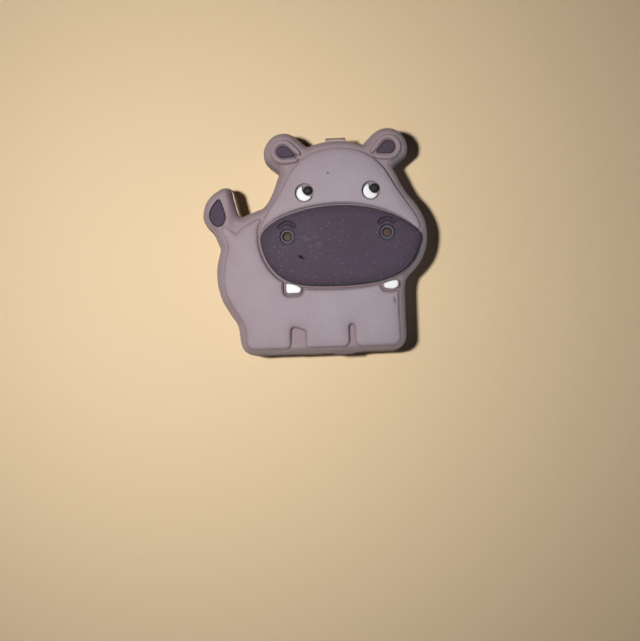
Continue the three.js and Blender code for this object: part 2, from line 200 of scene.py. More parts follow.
def curve(points, closed=False, per_span=8):
    """A smooth line through the points: on each span, the Catmull-Rom cubic of its four nearest points."""
    p = np.array(points, float)
    q = np.r_[p[-1:], p, p[:2]] if closed else np.r_[2 * p[:1] - p[1:2], p, 2 * p[-1:] - p[-2:-1]]
    a, b, c, d = (q[i:len(q) - 3 + i, None] for i in range(4))
    t = np.linspace(0, 1, per_span, endpoint=False)[:, None]
    cubic = b + 0.5 * t * (c - a + t * (2 * a - 5 * b + 4 * c - d + t * (3 * b - a - 3 * c + d)))
    line = cubic.reshape(-1, 2)
    return line if closed else np.r_[line, p[-1:]]


def rounded(corners, step=0.06):
    """A closed outline whose corners (x, y, radius) are arcs; a corner of radius 0 stays sharp."""
    found = []
    for i, (x, y, radius) in enumerate(corners):
        if not radius:
            found.append([(x, y)])
            continue
        here = np.array([x, y])
        back = np.array(corners[i - 1][:2]) - here
        on = np.array(corners[(i + 1) % len(corners)][:2]) - here
        back /= np.linalg.norm(back)
        on /= np.linalg.norm(on)
        half = math.acos(back @ on) / 2
        middle = (back + on) / np.linalg.norm(back + on)
        centre = here + middle * radius / math.sin(half)
        reach = radius / math.tan(half)
        first = here + back * reach - centre
        last = here + on * reach - centre
        start = angle_of(first)
        turn = math.degrees(math.atan2(first[0] * last[1] - first[1] * last[0], first @ last))
        found.append(arc(*centre, radius, start, start + turn, step))
    return np.vstack(found)


def evenly(points, step=STEP):
    """The closed outline with its points the same distance apart along it."""
    closed = np.r_[points, points[:1]]
    run = np.r_[0, np.cumsum(np.linalg.norm(np.diff(closed, axis=0), axis=1))]
    at = np.linspace(0, run[-1], max(8, round(run[-1] / step)), endpoint=False)
    return np.c_[np.interp(at, run, closed[:, 0]), np.interp(at, run, closed[:, 1])]


def softened(points, reach, step=STEP):
    """The outline with its corners rounded: each point is the mean of those within the reach, twice over."""
    found = evenly(points, step)
    span = max(1, round(reach / step))
    for _ in range(2):
        found = np.mean([np.roll(found, i, 0) for i in range(-span, span + 1)], axis=0)
    return evenly(found, step)


def normals(outline):
    """Unit vectors that point out of an anticlockwise outline, square to the line past each point."""
    along = np.roll(outline, -1, 0) - np.roll(outline, 1, 0)
    out = np.c_[along[:, 1], -along[:, 0]]
    return out / np.linalg.norm(out, axis=1)[:, None]


def moved(outline, outwards):
    return outline + normals(outline) * outwards


def teardrop(x, y, radius, tip_x, tip_y, tip_radius):
    """A round end joined to a small round tip by straight sides."""
    axis = angle_of((tip_x - x, tip_y - y))
    swing = math.degrees(math.acos((radius - tip_radius) / math.hypot(tip_x - x, tip_y - y)))
    end = arc(x, y, radius, axis + swing, axis + 360 - swing, 0.06)
    tip = arc(tip_x, tip_y, tip_radius, axis - swing, axis + swing, 0.03)
    return evenly(np.r_[end, tip], 0.06)


def body_outline():
    """The whole silhouette, from the front foot anticlockwise up the head and round by the tail."""
    cheek = [(10.3, -4.5), (11.42, -3.42), (12.25, -2.3), (12.78, -0.9), (12.96, 0.4), (12.9, 1.62),
             (12.5, 2.9), (11.78, 4.22), (10.87, 5.33), (10.25, 6.35), (9.84, 7.25), (9.5, 8.0)]
    temple = [(-4.1, 7.95), (-4.45, 7.1), (-4.87, 6.13), (-5.37, 5.2), (-6.1, 4.35)]
    back = [(-6.9, 4.09), (-7.86, 3.71), (-8.62, 3.36)]
    tail_inside = [(-8.78, 3.73), (-8.96, 4.34), (-9.14, 5.15)]
    tail_outside = [(-11.77, 6.34), (-12.51, 5.58), (-12.98, 4.62), (TAIL_X, 3.55), (-12.69, 2.56),
                    (-11.89, 1.6), (-11.48, 0.54), (-11.18, -0.15)]
    rump = [(-11.44, -0.92), (-11.7, -2.2), (-11.78, -3.52), (-11.62, -5.0), (-11.17, -6.43),
            (-10.39, -7.78), (-9.7, -8.88), (-9.44, -9.75), (-9.36, -10.95), (-9.1, -11.93),
            (-8.42, -12.55), (-7.5, -12.78), (-6.6, -12.81)]
    return np.vstack([
        [(1.3, -12.93), (4.2, -12.93), (4.9, -12.87)], arc(8.33, -11.15, 1.7, -90, -4),
        [(10.04, -8.3), (10.08, -5.6)], curve(cheek), [(9.2, 8.5), (9.84, 9.0), (10.3, 9.36)],
        arc(*EARS["right"], -24, 138), [(6.02, 11.44)], arc(*CROWN)[1:-1], [(-0.62, 11.34)],
        arc(*EARS["left"], 42, 210), [(-4.47, 8.8), (-3.92, 8.42)], curve(temple), curve(back),
        curve(tail_inside), arc(-10.4, 5.87, 1.1, -8, 120), curve(tail_outside), curve(rump),
    ])


def muzzle_outline():
    return curve([
        (11.8, 0.15), (11.35, 0.9), (9.95, 1.98), (8.05, 2.97), (6.0, 3.6), (3.9, 3.92), (1.6, 3.95),
        (-1.0, 3.65), (-3.45, 2.98), (-5.0, 2.2), (-5.95, 1.4), (-6.3, 0.8), (-6.33, 0.2), (-6.1, -0.95),
        (-5.5, -2.35), (-4.45, -3.65), (-3.1, -4.5), (-1.4, -4.95), (1.2, -5.12), (3.5, -5.13),
        (5.6, -5.0), (7.35, -4.72), (8.85, -4.18), (10.1, -3.35), (11.0, -2.25), (11.55, -1.05),
    ], closed=True)


def face_outline():
    """The face panel down to the muzzle, which covers its lower edge: one half and its mirror image."""
    half = curve([(0, 10.66), (2.15, 10.35), (3.95, 9.5), (5.4, 8.0), (6.6, 5.9), (8.15, 3.6),
                  (8.85, 2.45), (9.2, 1.45), (8.9, 0.6)])
    return np.r_[half[::-1], (half * [-1, 1])[1:]] + [FACE_X, 0]


def trunk_outline():
    """The trunk panel: tail root, back, flank, three legs and rump; its upper part lies under the head."""
    def sharp(points):
        return [(x, y, 0) for x, y in points]

    back = curve([(-8.45, 1.95), (-7.6, 2.4), (-6.75, 2.86)])
    rump = curve([(-8.45, -10.5), (-8.6, -9.5), (-9.0, -8.5), (-9.6, -7.5), (-10.2, -6.4), (-10.6, -5.3),
                  (-10.78, -3.9), (-10.65, -2.35), (-10.25, -0.8), (-10.1, 0.0)])
    return rounded([
        (-10.95, 1.95, 0.3), (-10.3, 2.1, 0.4), (-9.08, 1.22, 0.25), *sharp(back), (-6.0, 3.0, 0.36),
        (-6.2, 2.1, 0.6), (-6.7, 1.0, 0), (0, -3, 0), (9.1, -3, 0), (9.08, -8, 0), (9.15, -12.2, 1.0),
        (3.95, -12.2, 0.85), (3.9, -9.58, 0.26), (3.35, -9.58, 0.26), (3.38, -12.15, 0.8),
        (-1.75, -12.12, 0.5), (-1.7, -10.1, 0.35), (-3.25, -9.6, 0.3), (-3.42, -12.13, 0.6),
        (-8.5, -12.12, 1.0), *sharp(rump), (-10.4, 0.9, 0.5),
    ])[::-1]


def tail_inlay_outline():
    return curve([(-10.97, 5.27), (-11.5, 4.75), (-11.92, 4.1), (-12.06, 3.5), (-11.93, 2.85), (-11.5, 2.38),
                  (-11.05, 2.24), (-10.62, 2.42), (-10.32, 2.9), (-10.27, 3.35), (-10.45, 4.1),
                  (-10.72, 4.95)], closed=True)


TOOTH_CORNERS = {
    "left": [(-3.7, -4.62, 0.15), (-3.7, -5.8, 0.32), (-2.1, -5.8, 0.36), (-1.93, -5.22, 0.18),
             (-2.45, -4.88, 0.4), (-3.1, -4.68, 0.3)],
    "right": [(8.05, -4.84, 0.3), (7.3, -5.1, 0.24), (7.5, -5.64, 0.3), (8.5, -5.8, 0.4),
              (9.13, -5.45, 0.32), (9.1, -4.67, 0.3)],
}


def crease_outline(side):
    """A short arc over a nostril, with round ends."""
    x, y = NOSTRILS[side]
    dx, dy, radius, half, start, end = CREASE
    x += dx
    y += dy
    ends = [on_circle(x, y, radius, turn) for turn in (start, end)]
    return np.vstack([
        arc(x, y, radius + half, start, end, 0.05), arc(*ends[1], half, end, end + 180, 0.05)[1:-1],
        arc(x, y, radius - half, end, start, 0.05), arc(*ends[0], half, start + 180, start + 360, 0.05)[1:-1],
    ])


def inside_by(xy, outline, reach=1.2):
    """How far each point lies inside a closed outline, negative outside: the distance to the nearest side,
    its sign from how often a ray along +X crosses the outline. A point further than the reach from the
    outline's box gets its distance to that box."""
    low, high = outline.min(0), outline.max(0)
    found = -np.linalg.norm(np.maximum(np.maximum(low - xy, xy - high), 0), axis=1)
    near = np.flatnonzero(found > -reach)
    x0, y0 = outline.T.astype(np.float32)
    dx, dy = (np.roll(outline, -1, 0) - outline).T.astype(np.float32)
    squared = dx * dx + dy * dy
    slope = dx / np.where(dy == 0, np.float32(1e-9), dy)
    for block in np.array_split(near, len(near) // 500 + 1):
        x = xy[block, 0, None].astype(np.float32) - x0
        y = xy[block, 1, None].astype(np.float32) - y0
        above = y >= 0
        crossed = (above != np.roll(above, -1, 1)) & (x < y * slope)
        along = np.clip((x * dx + y * dy) / squared, 0, 1)
        x -= along * dx
        y -= along * dy
        gap = np.sqrt((x * x + y * y).min(1))
        found[block] = np.where(crossed.sum(1) % 2 == 1, gap, -gap)
    return found


ON_LINE = 0.012  # a point this near a region's line counts as on it


class Region:
    """The space inside some outlines and outside others. Each part is an outline, a side (1 to stay inside
    it, -1 to stay outside) and the margin kept to it."""

    def __init__(self, *parts):
        self.parts = [(evenly(outline, 0.08), side, margin) for outline, side, margin in parts]

    def depth(self, xy):
        """How far each point is inside the region: the least of its distances inside the parts."""
        return np.min([side * inside_by(xy, line) - margin for line, side, margin in self.parts], axis=0)

    def lines(self, levels):
        """The lines that run at each depth: every part is moved there and keeps its points that lie on it."""
        webs = []
        for outline, side, margin in self.parts:
            for level in levels:
                line = moved(outline, -side * (margin + level))
                kept = abs(self.depth(line) - level) < ON_LINE
                webs.append(web(line, kept))
        return joined(webs)

    def edge(self, reach):
        """The region's outline with its corners rounded: the stretches that its parts give, anticlockwise,
        each chained to the nearest start."""
        runs = []
        for outline, side, margin in self.parts:
            line = moved(outline, -side * margin)[::side]
            kept = abs(self.depth(line)) < ON_LINE
            first = np.argmin(kept)
            line, kept = np.roll(line, -first, 0), np.roll(kept, -first)
            cuts = np.flatnonzero(np.diff(kept.astype(int))) + 1
            for run, on in zip(np.split(line, cuts), np.split(kept, cuts)):
                if on[0] and len(run) > 2:
                    runs.append(run)
        chain = [runs.pop(np.argmax([len(run) for run in runs]))]
        while runs:
            gaps = [np.linalg.norm(run[0] - chain[-1][-1]) for run in runs]
            if np.linalg.norm(chain[0][0] - chain[-1][-1]) < min(gaps):
                break
            chain.append(runs.pop(np.argmin(gaps)))
        return softened(np.vstack(chain), reach, 0.08)


def web(line, kept=None):
    """The kept points of a closed line, or all, and the edges between neighbours that are both kept."""
    kept = np.ones(len(line), bool) if kept is None else kept
    index = np.cumsum(kept) - 1
    linked = kept & np.roll(kept, -1)
    return line[kept], np.c_[index[linked], np.roll(index, -1)[linked]]


def joined(webs):
    """Several lists of points and edges as one."""
    starts = np.cumsum([0] + [len(points) for points, _ in webs])
    return (np.vstack([points for points, _ in webs]).reshape(-1, 2),
            np.vstack([edges + start for (_, edges), start in zip(webs, starts)]).astype(int))


# ---------- meshes ----------


def filled(ring, webs, spacing):
    """The inside of a ring cut into triangles, through the webs' points and a square grid: the points, the
    ring's own first, and the triangles."""
    low, high = ring.min(0), ring.max(0)
    grid = np.stack(np.meshgrid(*(np.arange(a, b, spacing) for a, b in zip(low, high))), -1).reshape(-1, 2)
    points, edges = joined([*webs, (grid, np.zeros((0, 2), int))])
    kept = inside_by(points, ring) > 0.05
    index = np.cumsum(kept) - 1
    edges = index[edges[kept[edges].all(1)]] + len(ring)
    around = np.arange(len(ring))
    edges = np.r_[np.c_[around, np.roll(around, -1)], edges]
    points = np.r_[ring, points[kept]]
    found = delaunay_2d_cdt(points.tolist(), edges.tolist(), [], 1, 1e-4)
    corners = np.array([tuple(v) for v in found[0]])
    triangles = np.array(found[2])
    source = np.array([ids[0] if ids else -1 for ids in found[3]])
    on_ring = (source >= 0) & (source < len(ring))
    place = np.where(on_ring, source, len(ring) + np.cumsum(~on_ring) - 1)
    return np.r_[ring, corners[~on_ring]], place[triangles]


def cells_of(index):
    """The cells of a grid of points, rows up and columns round, as four corners each."""
    right = np.roll(index, -1, 1)
    return np.stack([index[:-1], right[:-1], right[1:], index[1:]], -1)


def split(cells):
    """Each cell as two triangles."""
    quads = cells.reshape(-1, 4)
    return np.vstack([quads[:, [0, 1, 2]], quads[:, [0, 2, 3]]])


def closed_mesh(name, wall, front, webs, spacing, tunnel=None):
    """A closed piece. The wall is a grid of points, rows up and columns round. A flat back closes its first
    row, and the front, a height over the plane, its last. A tunnel is a mask of the wall's cells that it
    opens, and its points and triangles, where a negative number is a point of the wall."""
    rows, columns = wall.shape[:2]
    index = np.arange(rows * columns).reshape(rows, columns)
    cells = cells_of(index)
    vertices = [wall.reshape(-1, 3)]
    count = rows * columns
    triangles = []
    for row, lines, gap, height in ((-1, webs, spacing, front), (0, [], 1.0, lambda xy: wall[0, 0, 2])):
        points, faces = filled(wall[row, :, :2], lines, gap)
        place = np.r_[index[row], count + np.arange(len(points) - columns)]
        vertices.append(heights(points, height(points))[columns:])
        triangles.append(place[faces])
        count += len(points) - columns
    if tunnel:
        opened, points, faces = tunnel
        cells = cells[~opened]
        vertices.append(points)
        triangles.append(np.where(faces < 0, -faces - 1, faces + count))
    triangles.append(split(cells))
    return mesh_piece(name, np.vstack(vertices), np.vstack(triangles))


def in_scene(name, data):
    """An object with the data, in the scene."""
    made = bpy.data.objects.new(name, data)
    bpy.context.scene.collection.objects.link(made)
    return made


def mesh_piece(name, vertices, triangles):
    """An object of triangles, its places turned from drawing millimetres into the frame's metres."""
    mesh = bpy.data.meshes.new(name)
    mesh.from_pydata((vertices + [DRAWING_X, DRAWING_Y, 0]) * MM, [], triangles)
    tool = bmesh.new()
    tool.from_mesh(mesh)
    bmesh.ops.recalc_face_normals(tool, faces=tool.faces)
    tool.to_mesh(mesh)
    tool.free()
    mesh.shade_smooth()
    mesh.set_sharp_from_angle(angle=math.radians(60))
    return in_scene(name, mesh)


def drawing_places(piece):
    """The piece's vertices in drawing millimetres."""
    found = np.zeros(len(piece.data.vertices) * 3, np.float32)
    piece.data.vertices.foreach_get("co", found)
    return found.reshape(-1, 3) / MM - [DRAWING_X, DRAWING_Y, 0]


def set_mask(piece, name, values):
    """A number from 0 to 1 at every vertex, for the materials to read."""
    mask = piece.data.attributes.new(name, "FLOAT", "POINT")
    mask.data.foreach_set("value", np.clip(values, 0, 1).astype(np.float32))


def heights(xy, z):
    return np.c_[xy, np.broadcast_to(z, len(xy))]


def plate(name, outline, bottom, insets, front, webs=(), spacing=0.2):
    """A closed piece on an outline: a straight wall from the bottom, then a ring at each inset as high as
    the front."""
    edge = front(outline)
    foot = moved(outline, -0.04)
    rows = [heights(foot, bottom), heights(outline, bottom + 0.04)]
    rows += [heights(outline, bottom + (edge - bottom) * share) for share in (0.5, 1.0)]
    for inset in insets:
        line = moved(outline, -inset)
        rows.append(heights(line, front(line)))
    return closed_mesh(name, np.array(rows), front, webs, spacing)


# ---------- profiles ----------


def curl(t):
    """A quarter of a round edge: from 0 at t=0, upright there, to 1 at t=1, level there."""
    return np.sqrt(1 - (1 - np.clip(t, 0, 1)) ** 2)


def ramp(t):
    t = np.clip(t, 0, 1)
    return t * t * (3 - 2 * t)


def line_at(depth, width):
    """1 on a line and near 0 a width away from it."""
    return np.exp(-(depth / width) ** 2)


def crease_at(depth, line):
    """How dark a line is at a depth from it, for a line given as how dark and how wide it is."""
    return line[0] * line_at(depth, line[1])


def crowned(xy, crown, top):
    x, y, rx, ry, drop = crown
    return top - drop * (((xy[:, 0] - x) / rx) ** 2 + ((xy[:, 1] - y) / ry) ** 2)


def tilted(tilt):
    """Unit vectors along and across a direction in degrees."""
    turn = math.radians(tilt)
    return np.array([[math.cos(turn), math.sin(turn)], [-math.sin(turn), math.cos(turn)]])


def flaw_depth(xy, flaws):
    """How deep the flaws are at each point: each is an oval dent with steep sides and a flat floor."""
    found = np.zeros(len(xy))
    for x, y, half_length, half_width, tilt, depth in flaws:
        along, across = ((xy - [x, y]) @ axis for axis in tilted(tilt))
        found += depth * np.exp(-((along / half_length) ** 2 + (across / half_width) ** 2) ** 2)
    return found


def flaw_webs(flaws):
    """Ovals of points round each flaw, from its middle to past its edge."""
    webs = []
    for x, y, half_length, half_width, tilt, _ in flaws:
        for share in (0.3, 0.6, 0.8, 1.0, 1.2, 1.45):
            oval = circle(0, 0, 1, 0.35) * share * [half_length, half_width]
            webs.append(web(oval @ tilted(tilt) + [x, y]))
    return webs


# ---------- the grey skin ----------

BODY = softened(body_outline(), 0.22)
MUZZLE = softened(muzzle_outline(), 0.12)
FACE = face_outline()
EAR_PADS = {side: teardrop(*values) for side, values in EAR_INLAYS.items()}
TAIL_INLAY = evenly(tail_inlay_outline(), 0.08)
TEETH = {side: evenly(rounded(corners), 0.06) for side, corners in TOOTH_CORNERS.items()}


def ear_slot(side):
    """The gap in an ear's ridge, on the line from the inlay's tip towards the head."""
    x, y, _, tip_x, tip_y, _ = EAR_INLAYS[side]
    along = np.array([tip_x - x, tip_y - y])
    along /= np.linalg.norm(along)
    across = np.array([-along[1], along[0]]) * EAR_SLOTS[side] / 2
    start = np.array([tip_x, tip_y])
    end = start + along * 2
    return evenly(np.array([start - across, end - across, end + across, start + across]))


def round_region(reach, *parts):
    return Region((Region(*parts).edge(reach), 1, 0))


FACE_PANEL = round_region(0.16, (FACE, 1, 0), (MUZZLE, -1, FACE_BAND))
TRUNK_PANEL = round_region(0.12, (trunk_outline(), 1, 0), (MUZZLE, -1, TRUNK_BAND), (FACE, -1, PANEL_GAP),
                           *((tooth, -1, TOOTH_BAND) for tooth in TEETH.values()))
RIDGES = [round_region(0.12, (inlay, 1, -EAR_RIDGE[1]), (inlay, -1, EAR_RIDGE[0]), (FACE, -1, RIDGE_GAP),
                       (ear_slot(side), -1, 0)) for side, inlay in EAR_PADS.items()]
POCKETS = [Region((outline, 1, -FIT)) for outline in
           (MUZZLE, TAIL_INLAY, *EAR_PADS.values(), *TEETH.values())]
MUZZLE_BAND = Region((MUZZLE, 1, -FACE_BAND))
LOW_LIPS = [(Region((outline, 1, -width)), height, dark)
            for outlines, (width, height, dark) in (([MUZZLE], MUZZLE_LIP), (TEETH.values(), TOOTH_LIP),
                                                    (EAR_PADS.values(), EAR_LIP))
            for outline in outlines]
SOCKETS = [Region((circle(x, y, EYE_SOCKET, 0.06), 1, 0)) for x, y in EYES.values()]


def away_from(xy, x, y):
    return np.hypot(xy[:, 0] - x, xy[:, 1] - y)


def beside_tail(xy):
    """1 along the tail's inner side, where a lip of silicone stands out below the shoulder, and 0 away."""
    x, y, reach = TAIL_LIP
    return ramp(1.6 * (reach - away_from(xy, x, y)) / reach)


def shoulder(edge, xy):
    """Height of the front at a depth inside the silhouette: a quarter oval from the parting line to the rim.
    Beside the tail it is a low lip with a small round edge and another quarter oval behind it."""
    plain = SHOULDER_RISE * curl(edge / SHOULDER)
    behind = (SHOULDER_RISE - LIP_RISE) * curl((edge - LIP_WIDTH) / LIP_CLIMB)
    lip = LIP_RISE * curl(edge / LIP_ROUND) + behind
    return PARTING_Z + plain + (lip - plain) * beside_tail(xy)


def skin_front(xy):
    """Height of the skin's front: the rim, the tail's dome, each panel with a crown, a sinking margin and a
    round edge, the ridges, the low lips, and the pockets and sockets cut down into them."""
    edge = inside_by(xy, BODY)
    tail = ramp((TAIL_EAST - xy[:, 0]) / 0.8) * ramp((xy[:, 1] - TAIL_SOUTH) / 1.2)
    base = shoulder(edge, xy) + TAIL_DOME[0] * tail * curl(edge / TAIL_DOME[1])
    rises = []
    for panel, crown, top in ((FACE_PANEL, FACE_CROWN, FACE_Z), (TRUNK_PANEL, TRUNK_CROWN, TRUNK_Z)):
        depth = panel.depth(xy)
        full = crowned(xy, crown, top) - PANEL_FALL * (1 - curl(depth / PANEL_MARGIN)) - RIM_Z
        rises.append(full * curl(depth / PANEL_ROUND))
    rises += [(RIDGE_Z - RIM_Z) * curl(ridge.depth(xy) / RIDGE_ROUND) for ridge in RIDGES]
    rises += [height * curl(lip.depth(xy) / LOW_LIP_ROUND) for lip, height, _ in LOW_LIPS]
    found = base + np.max(rises, axis=0) - flaw_depth(xy, SKIN_FLAWS)
    for socket in SOCKETS:
        found = np.where(socket.depth(xy) > 0, np.minimum(found, EYE_FLOOR_Z), found)
    for pocket in POCKETS:
        found = np.where(pocket.depth(xy) > 0, SEAT_Z, found)
    return found


def skin_webs():
    """The lines that the front's triangles follow, along every edge on it."""
    webs = [region.lines(levels) for regions, levels in (
        ((FACE_PANEL, TRUNK_PANEL), (-0.1, -0.05, 0, 0.012, 0.04, 0.09, 0.16, 0.24, PANEL_ROUND)),
        (RIDGES, (-0.08, -0.03, 0, 0.01, 0.03, 0.07, 0.12, 0.19)),
        ((*POCKETS, *SOCKETS), (-0.1, -0.04, -0.004, 0.004, 0.05)),
        ([low for low, _, _ in LOW_LIPS], (-0.03, 0, 0.01, 0.03, 0.06, LOW_LIP_ROUND)),
    ) for region in regions]
    webs += [web(moved(BODY, -inset)) for inset in (0.43, 0.52, 0.64, 0.8, 0.95, SHOULDER)]
    return webs + flaw_webs(SKIN_FLAWS)


def flash_width():
    """How far the parting line stands out along the outline: a little, wavering, and more at the tongues."""
    run = np.arange(len(BODY)) * STEP
    found = FLASH * (1 + 0.35 * np.sin(run * 1.1) + 0.25 * np.sin(run * 2.9 + 1))
    for x, y, reach, extra in FLASH_TONGUES:
        found += extra * np.exp(-(np.linalg.norm(BODY - [x, y], axis=1) / reach) ** 4)
    return found


def with_bosses(line, z):
    """The line pushed out to the flat boss at each end of the bore, which has a rounded upper edge."""
    near = abs(line[:, 0] - FACE_X) < BOSS_HALF_WIDTH
    found = line.copy()
    for plane, high in BOSS_HIGH.items():
        share = np.broadcast_to(curl((high - z) / 0.1) * (z > BOSS_LOW), len(line))
        here = near & (abs(line[:, 1] - plane) < BOSS_REACH)
        found[here, 1] += (plane - line[here, 1]) * share[here]
    return found


def skin_wall():
    """The wall as a grid, rows from the flat back up to the front, columns along the outline: a back edge of
    a quarter oval, a side that leans out to the parting line and its flash, and the shoulder above."""
    rows = []
    for turn in np.radians(np.linspace(0, 90, 9)):
        inset = TAPER - DRAFT + BACK_ROUND * (1 - math.sin(turn))
        rows.append(heights(moved(BODY, -inset), BACK_RISE * (1 - math.cos(turn))))
    for z in (1.0, 1.6, 2.2, 2.75, 3.2, 3.6, 3.8, 3.87):
        out = DRAFT - TAPER * (PARTING_Z - z) / (PARTING_Z - BACK_RISE)
        rows.append(heights(with_bosses(moved(BODY, out), z), z))
    flash = flash_width()[:, None]
    for z in (3.885, 3.91):
        rows.append(heights(with_bosses(BODY + normals(BODY) * (DRAFT + flash), z), z))
    for inset in (-0.02, 0.0005, 0.004, 0.012, 0.025, 0.043, 0.065, 0.092, 0.118, 0.15, 0.185, 0.22, 0.25,
                  0.258, 0.29, 0.325, RING_INSET):
        line = moved(BODY, -inset)
        z = shoulder(np.full(len(line), max(inset, 0.0)), line)
        rows.append(np.c_[with_bosses(line, z), z + (0.02 if inset < 0 else 0)])
    return np.array(rows)


def bore_tunnel(wall):
    """The bore's surface: a ring of points from a square window in the wall at the crown, in to a circle,
    round the lip, straight down to the feet and out to the window there."""
    columns = wall.shape[1]
    half = round((BOSS_HALF_WIDTH - 0.05) / STEP)
    levels = wall[:, 0, 2]
    rows = np.flatnonzero((levels > BORE_WINDOW[0]) & (levels < BORE_WINDOW[1]))
    opened = np.zeros((len(wall) - 1, columns), bool)
    windows = []
    for sign in (1, -1):
        off = abs(wall[rows[0], :, 0] - FACE_X) + 100 * (wall[rows[0], :, 1] * sign < 0)
        across = (np.argmin(off) + np.arange(-half, half + 1)) % columns
        opened[np.ix_(rows[:-1], across[:-1])] = True
        grid = rows[:, None] * columns + across[::-sign]
        windows.append(np.r_[grid[0], grid[1:, -1], grid[-1, -2::-1], grid[-2:0:-1, 0]])
    flat = wall.reshape(-1, 3)
    top, bottom = flat[windows[0]], flat[windows[1]]
    turn = np.arctan2(top[:, 2] - PARTING_Z, top[:, 0] - FACE_X)

    def hoop(radius, y):
        return np.c_[FACE_X + radius * np.cos(turn), np.full(len(turn), y), PARTING_Z + radius * np.sin(turn)]

    def mouth(window, plane, sign):
        outer = hoop(BORE_RADIUS + BORE_LIP, plane)
        flat_part = [window + (outer - window) * [share, 1, share] for share in (0.3, 0.65, 1)]
        lip = [hoop(BORE_RADIUS + BORE_LIP * (1 - math.sin(t)), plane - sign * BORE_LIP * (1 - math.cos(t)))
               for t in np.radians([25, 50, 70, 90])]
        return flat_part + lip

    middle = [hoop(BORE_RADIUS, y) for y in np.linspace(BOSS_TOP_Y - 1, BOSS_BOTTOM_Y + 1, 24)]
    hoops = mouth(top, BOSS_TOP_Y, 1) + middle + mouth(bottom, BOSS_BOTTOM_Y, -1)[::-1]
    index = np.vstack([-windows[0] - 1, np.arange(len(hoops) * len(turn)).reshape(len(hoops), -1),
                       -windows[1] - 1])
    return opened, np.vstack(hoops), split(cells_of(index))


def skin_painted_shade(xy, z, edge, panels, lip):
    """How dark the skin is painted at each point as shade: in its creases, pockets, sockets, dents and the
    muzzle's band, behind the tail's lip and along its silhouette.
    """
    right = PANEL_LINE[0] + PANEL_LINE_MORE * ramp((xy[:, 0] - 7) / 3)
    lines = [right * line_at(depth, PANEL_LINE[1]) for depth in panels]
    lines += [crease_at(ridge.depth(xy), RIDGE_LINE) for ridge in RIDGES]
    lines += [crease_at(pocket.depth(xy) + 0.03, POCKET_LINE) for pocket in POCKETS]
    lines += [SOCKET_SHADE * ramp(socket.depth(xy) / 0.06 + 0.5) for socket in SOCKETS]
    lines.append(BAND_SHADE * ramp((MUZZLE_BAND.depth(xy) + 0.06) / 0.08))
    lines += [crease_at(low.depth(xy), (dark, LIP_LINE_WIDTH)) for low, _, dark in LOW_LIPS if dark]
    for inlay in EAR_PADS.values():
        around = EAR_RIDGE[0] + 0.03 + Region((inlay, 1, 0)).depth(xy)
        lines.append(INLAY_SHADE * ramp(around / 0.08))
    lines.append(flaw_depth(xy, SKIN_FLAWS) * FLAW_SHADE)
    lines.append(lip * crease_at(edge - LIP_WIDTH - 0.03, TAIL_LIP_LINE))
    outer = crease_at(np.maximum(edge, 0), OUTER_LINE) * (1 - beside_tail(xy))
    return np.maximum(np.max(lines, axis=0) * (z > FRONT_Z), outer * (z > PARTING_Z - 0.04))


def make_skin():
    """The grey skin, with masks for its painted shade, for the painted sheen and shade on its panels, and for
    its pale places: painted highlights on the tail's lip and along the parting line, and the paler upper
    boss.
    """
    wall = skin_wall()
    skin = closed_mesh("hippo_skin", wall, skin_front, skin_webs(), 0.3, bore_tunnel(wall))
    places = drawing_places(skin)
    xy, z = places[:, :2], places[:, 2]
    edge = inside_by(xy, BODY)
    panels = [FACE_PANEL.depth(xy), TRUNK_PANEL.depth(xy)]
    lip = beside_tail(xy) * (z > PARTING_Z - 0.1)
    set_mask(skin, "painted_shade", skin_painted_shade(xy, z, edge, panels, lip))
    # Painted light on the panels: a painted sheen makes them lighter towards their middles, and painted shade
    # darkens their margins.
    painted_panel_light = []
    for outline, depth in zip((FACE, trunk_outline()), panels):
        deep = inside_by(xy, evenly(outline), PANEL_SWELL)
        painted_panel_light.append((0.25 + 0.75 * curl(deep / PANEL_SWELL)) * ramp(depth / 0.1))
    painted_rear_shade = 1 - 0.4 * ramp((6 - xy[:, 0]) / 14)  # painted shade: the panels darken towards the rump
    set_mask(skin, "panel", np.max(painted_panel_light, axis=0) * (z > FRONT_Z) * painted_rear_shade)
    # The pale mask: a painted highlight along the parting line's flash and on the edge of the tail's lip, and
    # the paler upper boss.
    seam_highlight = line_at(z - PARTING_Z, 0.08) * (edge < 0.03)
    beside_bore = abs(xy[:, 0] - FACE_X) < BOSS_HALF_WIDTH + 0.1
    boss = beside_bore * (xy[:, 1] > BOSS_PALE_Y) * (z < FRONT_Z)
    set_mask(skin, "pale", np.max([0.1 * seam_highlight, lip * ramp((LIP_WIDTH - edge) / 0.08), 0.5 * boss], axis=0))
    return skin


# ---------- the coloured pieces ----------


CREASES = {side: Region((crease_outline(side), 1, 0)) for side in NOSTRILS}


def muzzle_front(xy):
    """A low crown with a round edge. Each nostril is a groove, a ring and a hole, under a short sunk arc."""
    found = crowned(xy, MUZZLE_CROWN, MUZZLE_Z)
    found -= MUZZLE_DROP * (1 - curl(inside_by(xy, MUZZLE) / MUZZLE_ROUND))
    found -= flaw_depth(xy, MUZZLE_FLAWS)
    middle, half, foot, rise = NOSTRIL_ROUND
    for side, nostril in NOSTRILS.items():
        radius = away_from(xy, *nostril)
        ring = foot + rise * np.sqrt(np.clip(1 - ((radius - middle) / half) ** 2, 0, 1))
        grooved = found + (ring - found) * ramp((NOSTRIL_RING - radius) / 0.06)
        found = np.where(radius < NOSTRIL_RING, grooved, found)
        found = np.where(radius < NOSTRIL_PIT, NOSTRIL_PIT_Z, found)
        found -= CREASE_DEPTH * curl(CREASES[side].depth(xy) / CREASE_ROUND)
    return found


def muzzle_webs():
    webs = [CREASES[side].lines((-0.05, 0, 0.01, 0.03, 0.06, CREASE_ROUND)) for side in NOSTRILS]
    radii = (0.93, 0.885, 0.86, 0.84, 0.82, 0.8, 0.78, 0.74, 0.7, 0.665, 0.63, 0.59, 0.56, 0.54, 0.505,
             0.495, 0.44)
    webs += [web(circle(*nostril, radius, 0.06)) for nostril in NOSTRILS.values() for radius in radii]
    return webs + flaw_webs(MUZZLE_FLAWS)


